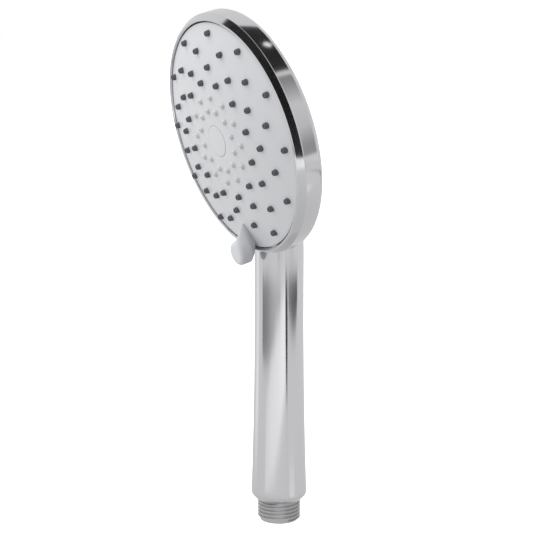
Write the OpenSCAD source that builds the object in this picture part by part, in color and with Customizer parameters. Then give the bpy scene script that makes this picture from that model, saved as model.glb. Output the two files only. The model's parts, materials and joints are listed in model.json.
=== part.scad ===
// Handheld shower head with a turning spray face, a lever to turn it and a G1/2 male inlet.
// Origin: on the inlet's axis, halfway along its thread. +Z runs up the handle, -Y is the spray side.

/* [Head] */
// Outside diameter of the chrome trim ring
head_d = 117.4; // [115:0.2:120]
// Diameter of the opening that the spray face turns in
face_opening_d = 110.6; // [109:0.2:111]
// Forward tilt of the spray face, in degrees
face_tilt = 12.8; // [10:0.2:16]
// Height of the spray face's centre above the inlet's end
face_z = 191.4; // [188:0.2:195]
// Distance of the spray face's centre in front of the handle's axis
face_y = -26.5; // [-28:0.1:-25]
// How far the middle of the domed face stands proud of the ring
dome_rise = 7.6; // [6.5:0.1:8.5]
// Radius of the dome
dome_r = 180; // [170:1:200]

/* [Spray pattern] */
// Nozzles in each ring
nozzles_per_ring = 12; // [12]
// Radii of the four rings of dark nozzles
nozzle_rings = [27.9, 34.9, 42.7, 50.1];
// Radii of the two rings of pale nozzles
nub_rings = [14.6, 20.6];
// Height of a dark nozzle above the face
nozzle_h = 1.9; // [1.5:0.1:2.5]
// Height of a pale nozzle above the face
nub_h = 1.1; // [0.8:0.1:1.5]

/* [Lever] */
// Distance of the lever's pointed end from the face's centre
lever_start = 40; // [38:0.5:41]
// Distance of the lever's round end from the face's centre
lever_end = 61.6; // [60:0.2:63]
// Radius of the lever's round end
lever_r = 6; // [5:0.1:8]
// Height of the lever's crest above the ring
lever_h = 10.3; // [8:0.1:11]
// Width of the lever's crest
lever_crest = 7; // [4:0.1:9]

/* [Handle] */
// Height of the handle's lower end above the inlet's end
handle_z = 11; // [11:0.5:12]
// Wall of the chrome body
wall = 2.2; // [2:0.1:2.4]

/* [Inlet] */
// Major diameter of the inlet's thread
thread_d = 20.955; // [20.955]
// Distance from one thread crest to the next
thread_pitch = 1.814; // [1.814]
// Number of full crests
thread_crests = 5; // [4:1:5]

/* [Hidden] */
$fn = 96;

eps = 0.01;
big = 80;
gap = 0.05;

// Inlet, measured up from its end
thread_r = thread_d / 2;
thread_depth = 1.16;
crest_w = 0.36;
end_chamfer = 0.92;
first_crest = 1.6;
thread_top = first_crest + (thread_crests - 1) * thread_pitch + crest_w;
thread_mid = (first_crest + thread_top) / 2;
nipple_neck_r = 9.4;
nipple_body_r = 10.2;
nipple_top = 24.5;
inlet_bore_r = 8;
filter_z = 5;
filter_t = 1.4;
regulator_z = 7;
regulator_t = 2.7;
regulator_r = 6.8;
throat_r = 4;

// Waterway
tube_r = 5.5;
tube_bore_r = 3.9;
tube_z0 = 14.5;
tube_z1 = 121;
socket_r = tube_r + 0.1;
oring_wire = 0.44;
tube_oring_z = [19, 117];
nipple_oring_z = 18;
duct_r = 4.3;
duct_bore_r = 3.2;

// Body
handle_bore_r = 10.4;
handle_bore_top = 26;
rim_z = -11.2;
ring_seat_r = 56.9;
upstand_r = 55.5;
upstand_top = -9.1;
pan_back = 23;

// Face and the stack behind it, measured along the face's axis from the ring's front
plate_r = face_opening_d / 2 - 0.6;
plate_t = 2.2;
skirt_t = 1.8;
skirt_z = -7.5;
mat_t = 1.2;
mat_gap = 0.1;
divider_r = [23, 24.6];
tray_r = plate_r - skirt_t - 0.3;
tray_z = [-6, -4.4];
tray_boss_r = 6;
tray_boss_bore_r = 4.8;
disc_z = [-8.6, -6.25];
disc_r = 50;
hub_r = 19;
hub_z = -10.8;
base_z = [-18.6, -11];
base_r = 19;
flange_r = 25;
flange_z = [-17.5, -15.2];
pivot_r = 3.5;
port_r = 10;
detent_r = 13;
click_angle = 30;
cap_r = 7.4;
cap_hole_r = 6.6;
cap_shelf_z = 6;
screw_circle_r = 22.3;
disc_screw_r = 27.5;

// Outline of the chrome body: height above the inlet's end, centre and half width
stations = [
    [handle_z, 0, 11.1], [handle_z + 2.5, 0, 13.5], [30, 0, 12.95], [45, 0, 12.55],
    [60, 0, 12.25], [80, 0, 11.95], [105, 0, 11.75], [125, 0, 11.8], [136, -0.1, 11.9],
    [150, -1.5, 11.6], [163, -4, 10.5], [175, -7, 8.5], [186, -10.5, 5]
];
inner_stations = [
    for (s = stations)
        if (s[0] > handle_bore_top)
            [s[0], s[1], s[2] - wall]
];
section_steps = 20;

// Height of the domed face at a distance from its centre
function dome_z(r, inset = 0) =
    dome_rise - dome_r + sqrt(pow(dome_r - inset, 2) - r * r);

// Angle from the front at which the two arcs of the handle's section meet
function crease_angle(z) = 79.5 - 7 * pow(min(z, 125) / 125, 2);

// Radius of the arc that passes through a crease point and the handle's front or back
function arc_r(x, sag) = (x * x + sag * sag) / (2 * sag);

// Distance from the axis to a circle of radius r whose centre is offset by c, at angle a
function arc_distance(a, c, r) = -c * cos(a) + sqrt(r * r - pow(c * sin(a), 2));

// One section of the handle: a front arc and a back arc that meet in a crease at each side
function section(z, half) =
    let (
        crease = crease_angle(z),
        x = 1.045 * half * sin(crease),
        y = 1.045 * half * cos(crease),
        front_r = arc_r(x, half - y),
        back_r = arc_r(x, half + y)
    )
    concat(
        [
            for (i = [0 : section_steps - 1])
                let (a = -crease + 2 * crease * i / section_steps)
                    arc_distance(a, front_r - half, front_r) * [sin(a), -cos(a)]
        ],
        [
            for (i = [0 : section_steps - 1])
                let (a = crease + (360 - 2 * crease) * i / section_steps)
                    arc_distance(a, half - back_r, back_r) * [sin(a), -cos(a)]
        ]
    );

// A closed solid through a list of sections
module loft(list) {
    n = 2 * section_steps;
    rings = len(list);
    points = [
        for (s = list)
            for (p = section(s[0], s[2]))
                [p[0], p[1] + s[1], s[0]]
    ];
    sides = [
        for (k = [0 : rings - 2])
            for (i = [0 : n - 1])
                let (a = k * n + i, b = k * n + (i + 1) % n)
                    each [[a, a + n, b], [b, a + n, b + n]]
    ];
    bottom = [for (i = [0 : n - 1]) i];
    top = [for (i = [0 : n - 1]) (rings - 1) * n + n - 1 - i];
    polyhedron(points, concat(sides, [bottom, top]), convexity = 4);
}

// Heights given above the inlet's end
module from_end() {
    translate([0, 0, -thread_mid])
        children();
}

// The face's own frame: centre of the ring's opening, Z out of the face, Y up the face
module in_face() {
    from_end()
        translate([0, face_y, face_z])
            rotate([90 + face_tilt, 0, 0])
                children();
}

// A point of the face's frame, in heights above the inlet's end
function face_point(v, w) = [
    0,
    face_y - v * sin(face_tilt) - w * cos(face_tilt),
    face_z + v * cos(face_tilt) - w * sin(face_tilt)
];

module plate(r, z) {
    translate([0, 0, z[0]])
        cylinder(r = r, h = z[1] - z[0]);
}

module tube(r_out, r_in, z) {
    difference() {
        plate(r_out, z);
        translate([0, 0, z[0] - 1])
            cylinder(r = r_in, h = z[1] - z[0] + 2);
    }
}

module oring(r, wire, z) {
    translate([0, 0, z])
        rotate_extrude()
            translate([r, 0])
                circle(r = wire, $fn = 24);
}

module around(count, r, turn = 0) {
    for (i = [0 : count - 1])
        rotate([0, 0, turn + i * 360 / count])
            translate([r, 0, 0])
                children();
}

// The dome, set in from the face's surface
module dome(inset = 0) {
    translate([0, 0, dome_rise - dome_r])
        sphere(r = dome_r - inset, $fn = 240);
}

// A sheet that follows the dome between two depths and two radii
module dome_sheet(inset, thickness, r_in, r_out) {
    difference() {
        intersection() {
            dome(inset);
            tube(r_out, r_in, [-big / 2, big / 2]);
        }
        dome(inset + thickness);
    }
}

// A straight piece of pipe between two points
module pipe_leg(a, b, r) {
    d = b - a;
    translate(a)
        rotate([0, acos(d[2] / norm(d)), atan2(d[1], d[0])])
            cylinder(r = r, h = norm(d), $fn = 48);
}

module pipe_run(points, r) {
    for (i = [0 : len(points) - 2])
        pipe_leg(points[i], points[i + 1], r);
    for (i = [1 : len(points) - 2])
        translate(points[i])
            sphere(r = r + 0.15, $fn = 48);
}

// A wire coil along Z
module coil(r, wire, z, turns) {
    sides = 6;
    steps = turns * 16;
    points = [
        for (k = [0 : steps])
            for (i = [0 : sides - 1])
                let (
                    a = 360 * k / 16,
                    b = 360 * i / sides,
                    reach = r + wire * cos(b),
                    lift = (z[1] - z[0] - 2 * wire) * k / steps
                )
                    [reach * cos(a), reach * sin(a), z[0] + wire + lift + wire * sin(b)]
    ];
    walls = [
        for (k = [0 : steps - 1])
            for (i = [0 : sides - 1])
                let (p = k * sides + i, q = k * sides + (i + 1) % sides)
                    each [[p, p + sides, q], [q, p + sides, q + sides]]
    ];
    start = [for (i = [0 : sides - 1]) i];
    finish = [for (i = [0 : sides - 1]) steps * sides + sides - 1 - i];
    polyhedron(points, concat(walls, [start, finish]), convexity = 6);
}

// Nozzle positions: rings 1 and 3 sit between the spokes of rings 2 and 4
module nozzle_places() {
    for (k = [0 : len(nozzle_rings) - 1])
        for (i = [0 : nozzles_per_ring - 1])
            if (k < 3 || i != 9)
                rotate([0, 0, 30 * i + (k % 2 == 0 ? 15 : 0)])
                    translate([nozzle_rings[k], 0, dome_z(nozzle_rings[k])])
                        children();
}

module nub_places() {
    for (k = [0 : len(nub_rings) - 1])
        for (i = [0 : nozzles_per_ring - 1])
            rotate([0, 0, 30 * i + (k == 0 ? 15 : 0)])
                translate([nub_rings[k], 0, dome_z(nub_rings[k])])
                    children();
}

duct_route = [
    [0, 0, 110], [0, 1.5, 124], [0, 4, 138], [0, -2, 158], face_point(-port_r, -15.2)
];

module pan_outline() {
    polygon([
        [0, -pan_back], [15, -22.4], [30, -20.6], [45, -17.2], [54, -13.9],
        [57.4, -12.3], [58.3, rim_z], [0, rim_z]
    ]);
}

module pan_cavity_outline() {
    polygon([
        [0, -21], [15, -20.4], [30, -18.6], [45, -15.2], [53.6, -11.9],
        [53.6, rim_z + 1], [0, rim_z + 1]
    ]);
}

// Chrome body: hollow handle and the shell behind the head, moulded in one
module body_shell() {
    color("gainsboro") {
        difference() {
            union() {
                in_face()
                    rotate_extrude()
                        pan_outline();
                from_end()
                    loft(stations);
            }
            in_face() {
                rotate_extrude()
                    pan_cavity_outline();
                plate(head_d / 2 + 0.1, [rim_z, 20]);
            }
            from_end() {
                loft(inner_stations);
                plate(handle_bore_r, [handle_z - 1, handle_bore_top + 5]);
            }
        }
        in_face() {
            tube(ring_seat_r, upstand_r, [rim_z - eps, upstand_top]);
            around(4, screw_circle_r, 45)
                tube(2.8, 1.55, [-20.6, flange_z[0]]);
        }
    }
}

// Chrome ring that frames the spray face
module trim_ring() {
    r = head_d / 2;
    lip_r = face_opening_d / 2;
    color("silver")
        in_face()
            rotate_extrude()
                polygon([
                    [r - 0.2, rim_z + 0.1], [r, rim_z + 0.6], [r, -3.3], [r - 2, -0.4],
                    [r - 2.5, 0], [lip_r + 0.2, 0], [lip_r, -0.3], [lip_r, upstand_top + 0.1],
                    [ring_seat_r + 0.1, upstand_top + 0.1], [ring_seat_r + 0.1, rim_z + 0.1]
                ]);
}

// Profile of the threaded inlet, from its end up
function thread_outline() = [
    for (i = [0 : thread_crests - 1])
        let (z = first_crest + i * thread_pitch, root = thread_r - thread_depth)
            each concat(
                [[thread_r, z], [thread_r, z + crest_w]],
                i < thread_crests - 1
                    ? [
                        [root, z + (thread_pitch + crest_w) / 2 - 0.12],
                        [root, z + (thread_pitch + crest_w) / 2 + 0.12]
                    ]
                    : []
            )
];

module inlet_nipple() {
    color("darkgray")
        from_end()
            difference() {
                rotate_extrude()
                    polygon(concat(
                        [
                            [throat_r, 0], [thread_r - end_chamfer, 0],
                            [thread_r, first_crest - 0.3]
                        ],
                        thread_outline(),
                        [
                            [nipple_neck_r, thread_top + 0.5], [nipple_neck_r, handle_z],
                            [nipple_body_r, handle_z], [nipple_body_r, nipple_top],
                            [throat_r, nipple_top]
                        ]
                    ));
                plate(inlet_bore_r, [-1, filter_z + filter_t + 0.1]);
                plate(regulator_r + 0.1, [filter_z, regulator_z + regulator_t + 0.1]);
                plate(socket_r, [tube_z0 - 0.1, nipple_top + 1]);
                tube(nipple_body_r + 1, nipple_body_r - 0.9, [nipple_oring_z - 0.6, nipple_oring_z + 0.6]);
            }
}

module filter_screen() {
    bar = 0.5;
    r = inlet_bore_r - 0.1;
    color("whitesmoke")
        from_end() {
            tube(r, r - 1.6, [filter_z, filter_z + filter_t]);
            intersection() {
                plate(r - 1.5, [filter_z + 0.3, filter_z + 0.9]);
                for (i = [-4 : 4]) {
                    translate([i * 1.4 - bar / 2, -r, filter_z])
                        cube([bar, 2 * r, filter_t]);
                    translate([-r, i * 1.4 - bar / 2, filter_z])
                        cube([2 * r, bar, filter_t]);
                }
            }
        }
}

module flow_regulator() {
    color("seagreen")
        from_end()
            difference() {
                plate(regulator_r, [regulator_z, regulator_z + regulator_t]);
                around(6, 3.6)
                    plate(0.9, [0, 20]);
                tube(regulator_r + 1, regulator_r - 0.9, [regulator_z + 0.75, regulator_z + 1.95]);
            }
}

module regulator_oring() {
    color("dimgray")
        from_end()
            oring(regulator_r - 0.42, oring_wire, regulator_z + 1.35);
}

module nipple_oring() {
    color("dimgray")
        from_end()
            oring(nipple_body_r - 0.42, oring_wire, nipple_oring_z);
}

module waterway_tube() {
    color("ivory")
        from_end()
            difference() {
                tube(tube_r, tube_bore_r, [tube_z0, tube_z1]);
                for (z = tube_oring_z)
                    tube(tube_r + 1, tube_r - 0.9, [z - 0.6, z + 0.6]);
            }
}

module tube_orings() {
    color("dimgray")
        from_end()
            for (z = tube_oring_z)
                oring(tube_r - 0.42, oring_wire, z);
}

// Fixed half of the selector valve, with the duct that feeds it
module valve_base() {
    color("lightgray")
        difference() {
            union() {
                in_face() {
                    plate(base_r, base_z);
                    plate(flange_r, flange_z);
                    plate(pivot_r, [base_z[1] - eps, disc_z[1] + gap]);
                }
                from_end() {
                    pipe_run(duct_route, duct_r);
                    plate(tube_r + 1.9, [110, tube_z1 + 3]);
                }
            }
            from_end() {
                pipe_run(duct_route, duct_bore_r);
                plate(socket_r, [109, tube_z1 + 0.1]);
            }
            in_face() {
                plate(1.6, [base_z[0] + 2, 0]);
                translate([0, -port_r, 0])
                    plate(3, [-18, 0]);
                translate([0, detent_r, 0])
                    plate(2.05, [-18, 0]);
                tube(18, 16, [base_z[1] - 1.9, 0]);
                around(4, screw_circle_r, 45)
                    plate(1.7, [-30, 0]);
            }
        }
}

module base_screws() {
    color("silver")
        in_face()
            around(4, screw_circle_r, 45)
                difference() {
                    union() {
                        plate(1.5, [-19, flange_z[1] + eps]);
                        plate(2.7, [flange_z[1], flange_z[1] + 1.6]);
                    }
                    translate([-2, -0.4, flange_z[1] + 0.8])
                        cube([4, 0.8, 2]);
                }
}

module face_oring() {
    color("dimgray")
        in_face()
            oring(17, 0.95, base_z[1] - 0.9 + 0.1);
}

module port_spring() {
    color("silver")
        in_face()
            translate([0, -port_r, 0])
                coil(2.3, 0.3, [-17.95, -14], 4);
}

module detent_spring() {
    color("silver")
        in_face()
            translate([0, detent_r, 0])
                coil(1.5, 0.25, [-17.95, -15.05], 4);
}

module pivot_washer() {
    color("silver")
        in_face()
            tube(4.5, 1.7, [disc_z[1] + gap, disc_z[1] + gap + 0.3]);
}

module pivot_screw() {
    head_z = disc_z[1] + gap + 0.3;
    color("silver")
        in_face()
            difference() {
                union() {
                    plate(1.5, [-15, head_z + eps]);
                    plate(3.6, [head_z, head_z + 2.4]);
                }
                for (turn = [0, 90])
                    rotate([0, 0, turn])
                        translate([-2.2, -0.45, head_z + 1])
                            cube([4.4, 0.9, 3]);
            }
}

// Turning half of the selector valve
module flow_disc() {
    channel_z = disc_z[1] - 1.2;
    color("gainsboro")
        in_face()
            difference() {
                union() {
                    plate(disc_r, disc_z);
                    plate(hub_r, [hub_z, disc_z[0] + eps]);
                }
                plate(pivot_r + gap, [-20, 0]);
                for (turn = [-click_angle, 0, click_angle]) {
                    rotate([0, 0, turn])
                        translate([0, -port_r, 0])
                            plate(2.2, [-20, 0]);
                    rotate([0, 0, turn])
                        translate([0, detent_r, 0])
                            plate(2.3, [-20, hub_z + 1]);
                }
                tube(46, 30, [channel_z, 0]);
                translate([-2, -31, channel_z])
                    cube([4, 31 - port_r, 5]);
                around(6, disc_screw_r, 0)
                    plate(1.3, [-20, 0]);
            }
}

module disc_screws() {
    color("silver")
        in_face()
            around(6, disc_screw_r, 0)
                difference() {
                    union() {
                        plate(1.05, [disc_z[0] - eps, -4.6]);
                        plate(2.2, [disc_z[0] - 1.4, disc_z[0]]);
                    }
                    translate([-1.8, -0.3, disc_z[0] - 2])
                        cube([3.6, 0.6, 1.2]);
                }
}

// Tray that splits the water between the two sets of nozzles
module chamber_tray() {
    color("whitesmoke")
        in_face()
            difference() {
                union() {
                    plate(tray_r, tray_z);
                    tube(divider_r[1], divider_r[0], [tray_z[0], 3.4]);
                    tube(tray_r, tray_r - 1.4, [tray_z[0], -4]);
                    plate(tray_boss_r, [tray_z[0], 5]);
                }
                plate(tray_boss_bore_r, [-20, 20]);
                around(8, 38, 22.5)
                    plate(2.2, [-20, 0]);
                around(6, port_r, 30)
                    plate(1.5, [-20, 0]);
                around(6, disc_screw_r, 0)
                    plate(1.15, [-20, -4.5]);
            }
}

// Dark silicone mat with the rain nozzles
module nozzle_mat() {
    stem_r = 1.65;
    color("dimgray")
        in_face()
            difference() {
                union() {
                    dome_sheet(plate_t + mat_gap, mat_t, divider_r[1] + 0.4, tray_r - 0.3);
                    nozzle_places() {
                        translate([0, 0, -3.1])
                            cylinder(r = stem_r, h = 3.2, $fn = 24);
                        cylinder(r1 = stem_r - 0.05, r2 = 1.2, h = nozzle_h, $fn = 24);
                    }
                }
                nozzle_places()
                    translate([0, 0, -6])
                        cylinder(r = 0.55, h = 12, $fn = 16);
            }
}

// Pale silicone mat with the massage nozzles
module centre_mat() {
    stem_r = 1.4;
    color("white")
        in_face()
            difference() {
                union() {
                    dome_sheet(plate_t + mat_gap, mat_t, tray_boss_r + 5.2, divider_r[0] - 0.4);
                    nub_places() {
                        translate([0, 0, -3.1])
                            cylinder(r = stem_r, h = 3.2, $fn = 24);
                        cylinder(r1 = stem_r - 0.05, r2 = 0.95, h = nub_h, $fn = 24);
                    }
                }
                nub_places()
                    translate([0, 0, -6])
                        cylinder(r = 0.4, h = 12, $fn = 16);
            }
}

// Plan of the lever at its widest
module lever_plan() {
    reach = lever_end - lever_r - lever_start;
    lean = acos(lever_r / reach);
    translate([0, -(lever_end - lever_r)]) {
        circle(r = lever_r);
        polygon([
            [0, reach], lever_r * [sin(lean), cos(lean)], [0, -lever_r / 2],
            lever_r * [-sin(lean), cos(lean)]
        ]);
    }
}

// Side of the lever: distance down the face from its centre, and height
module lever_side() {
    polygon([
        [lever_start, 2], [49.6, 7.4], [53.5, lever_h - 0.6], [56, lever_h],
        [58.5, lever_h - 0.4], [60.5, lever_h - 1.5], [lever_end, lever_h - 3.2],
        [lever_end, 4.5], [60.6, 3], [58, 2.2], [plate_r + 0.2, 1.6],
        [plate_r - 0.3, 0], [46, -0.5]
    ]);
}

// Lever: a drop-shaped fin that rises from the face and reaches over the ring
module lever() {
    flank = atan((lever_r - lever_crest / 2) / (lever_h - 3));
    intersection() {
        translate([0, 0, -2])
            linear_extrude(height = 20)
                lever_plan();
        translate([lever_r, 0, 0])
            rotate([0, 0, -90])
                rotate([90, 0, 0])
                    linear_extrude(height = 2 * lever_r)
                        lever_side();
        for (side = [0, 1])
            mirror([side, 0, 0])
                translate([lever_crest / 2, -big, lever_h])
                    rotate([0, -flank, 0])
                        translate([-big, 0, -big])
                            cube([big, 2 * big, 2 * big]);
    }
}

// Turning front plate with its lever
module face_plate() {
    color("lightgray")
        in_face()
            difference() {
                union() {
                    intersection() {
                        dome();
                        plate(plate_r, [skirt_z, 20]);
                    }
                    lever();
                }
                intersection() {
                    dome(plate_t);
                    plate(plate_r - skirt_t, [skirt_z - 1, 20]);
                }
                nozzle_places()
                    translate([0, 0, -6])
                        cylinder(r = 1.75, h = 12, $fn = 24);
                nub_places()
                    translate([0, 0, -6])
                        cylinder(r = 1.5, h = 12, $fn = 24);
                plate(cap_hole_r, [0, 20]);
                plate(cap_r + 0.15, [cap_shelf_z, 20]);
            }
}

module centre_cap() {
    color("gainsboro")
        in_face() {
            intersection() {
                plate(cap_r, [cap_shelf_z, 10]);
                translate([0, 0, 0.35])
                    dome();
            }
            tube(tray_boss_bore_r - 0.1, 3.7, [0, cap_shelf_z + eps]);
        }
}

// Wheel that pulses the pale nozzles
module massage_turbine() {
    rim_r = 20.5;
    hub = [-4.2, 1.8];
    color("orange")
        in_face() {
            tube(8, tray_boss_r + gap, hub);
            difference() {
                plate(rim_r, [0.9, hub[1]]);
                plate(7.9, [0, 5]);
                translate([-big / 2, 0, 0])
                    cube([big, big, 5]);
            }
            around(10, 7.9, 18)
                translate([0, -0.5, hub[0] + 0.1])
                    cube([rim_r - 9, 1, 0.95 - hub[0] - 0.1]);
        }
}

module port_cup() {
    color("dimgray")
        in_face()
            translate([0, -port_r, 0])
                tube(2.9, 1.7, [-13.4, hub_z - gap]);
}

module detent_plunger() {
    nose_z = -11.9;
    color("white")
        in_face()
            translate([0, detent_r, 0]) {
                plate(2, [-15, nose_z]);
                translate([0, 0, nose_z - eps])
                    cylinder(r1 = 2, r2 = 0.9, h = hub_z - gap - nose_z + eps);
            }
}

body_shell();
trim_ring();
inlet_nipple();
filter_screen();
flow_regulator();
regulator_oring();
nipple_oring();
waterway_tube();
tube_orings();
valve_base();
base_screws();
face_oring();
port_spring();
detent_spring();
pivot_washer();
pivot_screw();
flow_disc();
disc_screws();
chamber_tray();
nozzle_mat();
centre_mat();
face_plate();
centre_cap();
massage_turbine();
port_cup();
detent_plunger();
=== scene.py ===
"""Looks of a handheld shower head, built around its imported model.

Every piece is made at its real size in metres. The origin is on the inlet's axis, halfway
along its thread; +Z runs up the handle and -Y is the spray side.
"""

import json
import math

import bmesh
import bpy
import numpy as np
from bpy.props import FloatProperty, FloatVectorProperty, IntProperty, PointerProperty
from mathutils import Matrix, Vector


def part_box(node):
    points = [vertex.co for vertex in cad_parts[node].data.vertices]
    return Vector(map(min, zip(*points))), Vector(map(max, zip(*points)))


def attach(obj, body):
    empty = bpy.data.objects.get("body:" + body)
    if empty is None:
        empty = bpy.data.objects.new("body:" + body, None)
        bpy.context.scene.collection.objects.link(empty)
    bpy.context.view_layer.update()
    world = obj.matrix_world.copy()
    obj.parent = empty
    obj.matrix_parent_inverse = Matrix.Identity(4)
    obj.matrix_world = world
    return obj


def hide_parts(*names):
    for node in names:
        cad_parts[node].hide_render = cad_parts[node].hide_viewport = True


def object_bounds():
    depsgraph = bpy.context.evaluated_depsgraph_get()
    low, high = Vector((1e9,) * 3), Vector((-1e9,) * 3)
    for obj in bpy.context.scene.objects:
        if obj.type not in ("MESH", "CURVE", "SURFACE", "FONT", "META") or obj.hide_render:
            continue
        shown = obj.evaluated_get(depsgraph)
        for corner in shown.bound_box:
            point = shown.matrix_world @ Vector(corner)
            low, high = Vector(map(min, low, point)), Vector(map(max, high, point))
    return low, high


bl_info = {
    "name": "Handheld Shower Head",
    "version": (1, 0, 0),
    "blender": (4, 5, 0),
    "location": "3D View > Sidebar > Shower Head",
    "description": "Builds the chrome body, spray face, nozzles, lever and inlet of a hand shower",
    "category": "Object",
}

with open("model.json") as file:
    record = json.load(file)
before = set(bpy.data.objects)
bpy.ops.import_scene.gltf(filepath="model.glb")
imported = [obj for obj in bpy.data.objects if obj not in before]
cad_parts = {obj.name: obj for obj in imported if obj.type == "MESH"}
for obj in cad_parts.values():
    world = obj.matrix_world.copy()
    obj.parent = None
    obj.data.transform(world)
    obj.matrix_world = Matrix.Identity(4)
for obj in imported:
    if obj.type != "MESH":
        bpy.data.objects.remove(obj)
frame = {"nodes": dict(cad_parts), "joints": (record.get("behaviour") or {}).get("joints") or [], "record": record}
CAD_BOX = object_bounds()

MM = 0.001

# The face's own frame: X across, Y up the face, Z out of it
TURN = next(joint for joint in frame["joints"] if joint["name"] == "face_turn")
THREAD = next(mount for mount in frame["record"]["mounts"] if mount["name"] == "inlet_thread")
FACE_CENTRE = Vector(TURN["pos_m"])
FACE_OUT = Vector(TURN["axis"]).normalized()
FACE_UP = FACE_OUT.cross(Vector((1, 0, 0)))
IN_FACE = Matrix(
    (
        (1, FACE_UP.x, FACE_OUT.x, FACE_CENTRE.x),
        (0, FACE_UP.y, FACE_OUT.y, FACE_CENTRE.y),
        (0, FACE_UP.z, FACE_OUT.z, FACE_CENTRE.z),
        (0, 0, 0, 1),
    )
)
TO_FACE = IN_FACE.inverted()

RING_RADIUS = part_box("trim_ring")[1].x
PLATE_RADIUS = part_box("face_plate")[1].x
CAP_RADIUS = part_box("centre_cap")[1].x
THREAD_RADIUS = THREAD["dims"]["r_mm"] * MM
THREAD_LENGTH = THREAD["dims"]["length_mm"] * MM
INLET_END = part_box("inlet_nipple")[0].z
NIPPLE_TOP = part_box("inlet_nipple")[1].z
HANDLE_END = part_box("body_shell")[0].z
# Top of the chamfer at the handle's lower end
CHAMFER_TOP = HANDLE_END + 2.5 * MM
# Middle of the reflection tent, near the top of the handle
TENT_CENTRE = Vector((0, 0, 120 * MM + INLET_END))


# ---------------------------------------------------------------- settings


def length(name, description, default):
    return FloatProperty(name=name, description=description, default=default, unit="LENGTH")


def turn(name, description, degrees):
    return FloatProperty(
        name=name, description=description, default=math.radians(degrees), subtype="ANGLE"
    )


def colour(name, description, default):
    return FloatVectorProperty(
        name=name, description=description, default=default, size=3, subtype="COLOR", min=0, max=1
    )


class ShowerHandle(bpy.types.PropertyGroup):
    wall: length("Wall", "Wall of the chrome body", 2.2 * MM)
    bore: length("Bore", "Radius of the bore that holds the inlet", 10.4 * MM)
    bore_depth: length("Bore depth", "Depth of that bore", 15 * MM)
    crease_low: turn("Lower crease", "Angle of the side crease from the front, at the inlet", 82)
    crease_swing: turn("Crease swing", "How far the crease swings forward towards the head", 6)
    crease_soft: length("Crease softness", "How far the crease's edge is eased", 0.12 * MM)
    end_round: length("End rounding", "Rounding of the corner at the handle's lower end", 1.1 * MM)
    front_blend: length("Front blend", "Reach of the blend into the ring at the front", 1.6 * MM)
    back_blend: length("Back blend", "Reach of the blend into the head at the back", 8 * MM)


class ShowerHead(bpy.types.PropertyGroup):
    dome_rise: length("Dome rise", "Height of the face's middle above the ring", 7.6 * MM)
    dome_radius: length("Dome radius", "Radius of the domed face", 180 * MM)
    plate_thickness: length("Plate thickness", "Thickness of the face plate", 2.2 * MM)
    skirt: length("Skirt", "Depth of the face plate's skirt below the ring's front", 7.5 * MM)
    edge_round: length("Edge rounding", "Rounding of the ring's edges", 0.22 * MM)
    back_depth: length("Back depth", "Depth of the head behind the ring's front", 23 * MM)
    spokes: IntProperty(name="Spokes", description="Nozzles in each ring", default=12)
    nozzle_height: length("Nozzle height", "Height of a dark nozzle above the face", 1.9 * MM)
    nozzle_base: length("Nozzle base", "Radius of a dark nozzle at the face", 1.5 * MM)
    nozzle_tip: length("Nozzle tip", "Radius of a dark nozzle at its tip", 1.3 * MM)
    nub_height: length("Pale nozzle height", "Height of a pale nozzle above the face", 1.35 * MM)
    nub_base: length("Pale nozzle base", "Radius of a pale nozzle at the face", 1.42 * MM)
    nub_tip: length("Pale nozzle tip", "Radius of a pale nozzle at its tip", 1.05 * MM)
    cap_rise: length("Cap rise", "How proud of the face the centre cap stands", 0.1 * MM)


class ShowerLever(bpy.types.PropertyGroup):
    start: length("Start", "Distance of the lever's point from the face's centre", 42 * MM)
    crest_start: length("Crest start", "Distance of the crest's own point", 51.5 * MM)
    foot_end: length("Foot end", "Distance at which the lever leaves the face plate", 54.5 * MM)
    end: length("End", "Distance of the lever's round end from the face's centre", 61.4 * MM)
    foot: length("Foot", "Radius of the lever's round end at the face plate", 2.6 * MM)
    radius: length("Radius", "Radius of the lever's round end higher up", 6 * MM)
    spread: length("Spread", "Height at which the lever reaches its full radius", 4.1 * MM)
    height: length("Height", "Height of the crest above the ring's front", 10.3 * MM)
    edge_round: length("Edge rounding", "Rounding of the crest's edge", 2 * MM)


class ShowerInlet(bpy.types.PropertyGroup):
    pitch: length("Pitch", "Distance from one thread crest to the next", 1.814 * MM)
    depth: length("Thread depth", "Depth of the thread", 1.16 * MM)
    crest: length("Crest width", "Width of a crest", 0.36 * MM)
    neck: length("Neck", "Radius of the neck above the thread", 9.4 * MM)
    body: length("Body", "Radius of the part inside the handle", 10.2 * MM)
    bore: length("Bore", "Radius of the inlet's bore", 8 * MM)
    flat: length("Flats", "Distance from the axis to the thread's moulded flats", 9.75 * MM)


class ShowerColours(bpy.types.PropertyGroup):
    chrome: colour("Chrome", "Plated body and ring", (0.90, 0.90, 0.905))
    nickel: colour("Nickel", "Satin plated inlet", (0.62, 0.62, 0.60))
    face: colour("Face", "Glossy grey face plate and lever", (0.60, 0.615, 0.64))
    nozzle: colour("Nozzles", "Dark silicone", (0.085, 0.09, 0.105))
    nub: colour("Pale nozzles", "Pale silicone", (0.64, 0.65, 0.67))
    white: colour("White", "White valve pieces", (0.80, 0.80, 0.78))
    green: colour("Green", "Flow regulator", (0.07, 0.26, 0.12))
    orange: colour("Orange", "Pulsing wheel", (0.72, 0.19, 0.03))
    rubber: colour("Rubber", "Seals", (0.022, 0.022, 0.024))
    steel: colour("Steel", "Screws, washer and springs", (0.56, 0.56, 0.57))


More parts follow.
